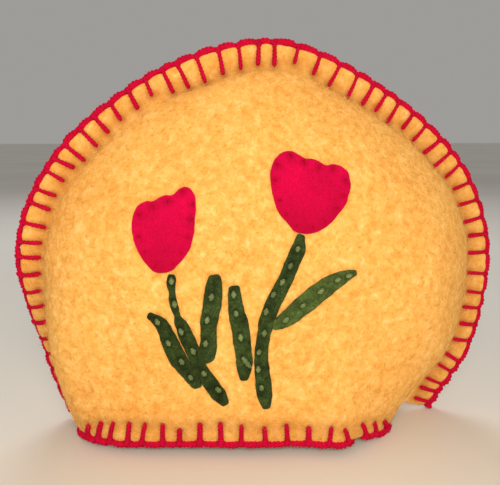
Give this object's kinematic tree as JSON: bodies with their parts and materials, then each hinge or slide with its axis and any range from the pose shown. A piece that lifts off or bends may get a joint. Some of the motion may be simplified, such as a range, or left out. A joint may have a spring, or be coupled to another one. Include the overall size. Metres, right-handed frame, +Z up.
{
  "type": "tea cosy",
  "caption": "Half-oval cover of thick felted wool, open along its hem, that slips over a teapot and keeps it warm, with two felt tulips on its front.",
  "frame": {"origin": "middle of the footprint, on the surface that the hem rests on", "axes": "+X to the right along the width, +Y from the front panel to the back one, +Z up"},
  "size_m": [0.301, 0.1084, 0.2387],
  "materials": {
    "yellow_felt": "felted wool, matt",
    "red_yarn": "wool yarn, matt",
    "red_felt": "felt, matt",
    "green_felt": "felt, matt"
  },
  "bodies": {
    "root": {"front_panel": "yellow_felt", "back_panel": "yellow_felt", "seam_stitching": "red_yarn", "front_hem_stitching": "red_yarn", "back_hem_stitching": "red_yarn", "left_tulip": "red_felt", "right_tulip": "red_felt", "left_stem": "green_felt", "left_outer_leaf": "green_felt", "left_inner_leaf": "green_felt", "middle_leaf": "green_felt", "right_stem": "green_felt", "right_leaf": "green_felt"}
  },
  "joints": []
}
